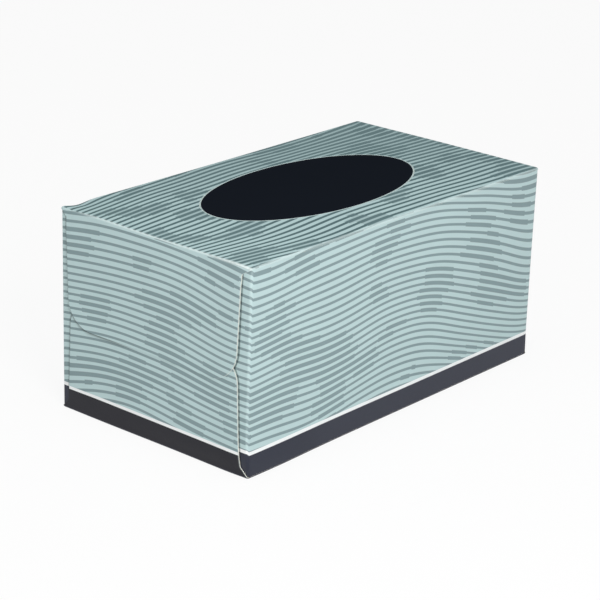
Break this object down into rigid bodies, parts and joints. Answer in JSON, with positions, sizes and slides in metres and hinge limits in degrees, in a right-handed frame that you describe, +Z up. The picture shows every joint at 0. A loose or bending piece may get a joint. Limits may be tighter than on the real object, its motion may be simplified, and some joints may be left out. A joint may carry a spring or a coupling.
{
  "type": "tissue box",
  "caption": "Unopened cuboid tissue carton with glued lapped end flaps and a perforated tear-out oval in its slightly bowed top.",
  "frame": {"origin": "centre of the base, on the surface that the carton stands on", "axes": "+X along the carton's length, the long front at -Y, +Z up out of the top panel"},
  "size_m": [0.23, 0.124, 0.1077],
  "materials": {
    "printed_board": "satin print on folding boxboard, pale green-blue with grey wavy stripes and a navy foot band"
  },
  "bodies": {
    "root": {"tissue_carton": "printed_board"}
  },
  "joints": []
}
